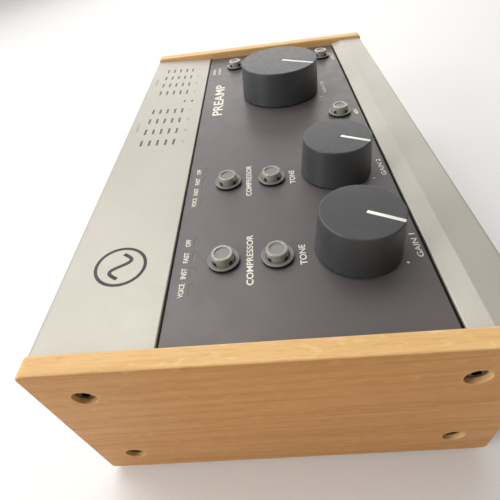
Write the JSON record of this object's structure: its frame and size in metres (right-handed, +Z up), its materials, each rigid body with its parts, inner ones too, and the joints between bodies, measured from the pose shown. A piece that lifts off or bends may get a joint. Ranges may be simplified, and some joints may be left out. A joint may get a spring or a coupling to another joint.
{
  "type": "microphone preamp",
  "caption": "Desktop microphone preamp with wooden end cheeks, satin metal body, recessed control plate, turning knobs, lit push buttons and rear sockets.",
  "frame": {"origin": "centre of the object's footprint box, on the plane the rubber feet stand on", "axes": "+X along the width to the user's right, +Y to the rear sockets, +Z up"},
  "size_m": [0.222, 0.145, 0.0839],
  "materials": {
    "maple": "open-grain maple, satin oil, grain along the depth",
    "cream_metal": "bead-blasted champagne finish, satin",
    "dark_plate": "warm dark grey, fine satin",
    "black_steel": "black powder coat",
    "knob_plastic": "dark grey soft satin",
    "bright_steel": "plated steel",
    "chrome_screw": "bright plated",
    "black_screw": "black zinc",
    "clear_acrylic": "clear moulded acrylic",
    "grey_plastic": "mid grey satin",
    "black_rubber": "matt black",
    "circuit_board": "green solder mask",
    "capacitor_sleeve": "dark sleeve, bright top",
    "smoked_lens": "smoked light guide",
    "led_white": "chip LED",
    "cable_grey": "grey ribbon",
    "light_button": "light grey satin",
    "pot_metal": "stamped steel case",
    "black_plastic": "glass-filled black nylon"
  },
  "bodies": {
    "chassis": {"base_tray": "black_steel", "bezel_gaskets": "black_rubber", "board_screws": "chrome_screw", "board_spacers": "bright_steel", "button_bezels": "grey_plastic", "button_switches": "black_plastic", "cable_headers": "black_plastic", "capacitors": "capacitor_sleeve", "case_screws": "black_screw", "cheek_screws": "chrome_screw", "control_board": "circuit_board", "control_carrier": "black_steel", "control_plate": "dark_plate", "dc_socket": "black_plastic", "flat_cable": "cable_grey", "front_shell": "cream_metal", "indicator_leds": "led_white", "input_jacks": "black_plastic", "jack_nuts": "bright_steel", "left_cheek": "maple", "main_board": "circuit_board", "meter_board": "circuit_board", "meter_lenses": "smoked_lens", "midi_inserts": "black_plastic", "midi_sockets": "black_plastic", "mode_lenses": "smoked_lens", "plug_jacks": "black_plastic", "pot_bodies": "pot_metal", "pot_nuts": "bright_steel", "power_switch_body": "black_plastic", "rear_shell": "cream_metal", "right_cheek": "maple", "rubber_feet": "black_rubber", "shield_can": "bright_steel", "usb_socket": "bright_steel"},
    "gain_1_control": {"gain_1_knob": "knob_plastic", "gain_1_shaft": "bright_steel"},
    "gain_2_control": {"gain_2_knob": "knob_plastic", "gain_2_shaft": "bright_steel"},
    "monitor_control": {"monitor_knob": "knob_plastic", "monitor_shaft": "bright_steel"},
    "phones_control": {"phones_knob": "knob_plastic", "phones_shaft": "bright_steel"},
    "compressor_1_button": {"compressor_1_cap": "clear_acrylic", "compressor_1_plunger": "grey_plastic"},
    "tone_1_button": {"tone_1_cap": "clear_acrylic", "tone_1_plunger": "grey_plastic"},
    "compressor_2_button": {"compressor_2_cap": "clear_acrylic", "compressor_2_plunger": "grey_plastic"},
    "tone_2_button": {"tone_2_cap": "clear_acrylic", "tone_2_plunger": "grey_plastic"},
    "phantom_button": {"phantom_cap": "clear_acrylic", "phantom_plunger": "grey_plastic"},
    "direct_button": {"direct_cap": "clear_acrylic", "direct_plunger": "grey_plastic"},
    "meter_button": {"meter_cap": "clear_acrylic", "meter_plunger": "grey_plastic"},
    "instrument_1": {"instrument_1_button": "light_button"},
    "instrument_2": {"instrument_2_button": "light_button"},
    "power_rocker": {"power_rocker": "black_plastic"}
  },
  "joints": [
    {"name": "gain_1_turn", "type": "hinge", "parent": "chassis", "child": "gain_1_control", "pos_m": [-0.0727, -0.02382, 0.06666], "axis": [0, 0.0366, -0.9993], "range_deg": [0, 300]},
    {"name": "gain_2_turn", "type": "hinge", "parent": "chassis", "child": "gain_2_control", "pos_m": [-0.0312, -0.02382, 0.06666], "axis": [0, 0.0366, -0.9993], "range_deg": [0, 300]},
    {"name": "monitor_turn", "type": "hinge", "parent": "chassis", "child": "monitor_control", "pos_m": [0.04455, -0.00754, 0.06726], "axis": [0, 0.0366, -0.9993], "range_deg": [0, 300]},
    {"name": "phones_turn", "type": "hinge", "parent": "chassis", "child": "phones_control", "pos_m": [0.05, -0.06051, 0.027], "axis": [0, 1, 0], "range_deg": [0, 300]},
    {"name": "compressor_1_press", "type": "slide", "parent": "chassis", "child": "compressor_1_button", "axis": [0, 0.0366, -0.9993], "range_m": [0, 0.0012], "stiffness_N_per_m": 1500, "springref_m": -0.0006},
    {"name": "tone_1_press", "type": "slide", "parent": "chassis", "child": "tone_1_button", "axis": [0, 0.0366, -0.9993], "range_m": [0, 0.0012], "stiffness_N_per_m": 1500, "springref_m": -0.0006},
    {"name": "compressor_2_press", "type": "slide", "parent": "chassis", "child": "compressor_2_button", "axis": [0, 0.0366, -0.9993], "range_m": [0, 0.0012], "stiffness_N_per_m": 1500, "springref_m": -0.0006},
    {"name": "tone_2_press", "type": "slide", "parent": "chassis", "child": "tone_2_button", "axis": [0, 0.0366, -0.9993], "range_m": [0, 0.0012], "stiffness_N_per_m": 1500, "springref_m": -0.0006},
    {"name": "phantom_press", "type": "slide", "parent": "chassis", "child": "phantom_button", "axis": [0, 0.0366, -0.9993], "range_m": [0, 0.0012], "stiffness_N_per_m": 1500, "springref_m": -0.0006},
    {"name": "direct_press", "type": "slide", "parent": "chassis", "child": "direct_button", "axis": [0, 0.0366, -0.9993], "range_m": [0, 0.0012], "stiffness_N_per_m": 1500, "springref_m": -0.0006},
    {"name": "meter_press", "type": "slide", "parent": "chassis", "child": "meter_button", "axis": [0, 0.0366, -0.9993], "range_m": [0, 0.0012], "stiffness_N_per_m": 1500, "springref_m": -0.0006},
    {"name": "instrument_1_press", "type": "slide", "parent": "chassis", "child": "instrument_1", "axis": [0, 1, 0], "range_m": [0, 0.0015], "stiffness_N_per_m": 1200, "springref_m": -0.0006},
    {"name": "instrument_2_press", "type": "slide", "parent": "chassis", "child": "instrument_2", "axis": [0, 1, 0], "range_m": [0, 0.0015], "stiffness_N_per_m": 1200, "springref_m": -0.0006},
    {"name": "power_rock", "type": "hinge", "parent": "chassis", "child": "power_rocker", "pos_m": [-0.066, 0.06826, 0.02999], "axis": [1, 0, 0], "range_deg": [0, 18]}
  ]
}
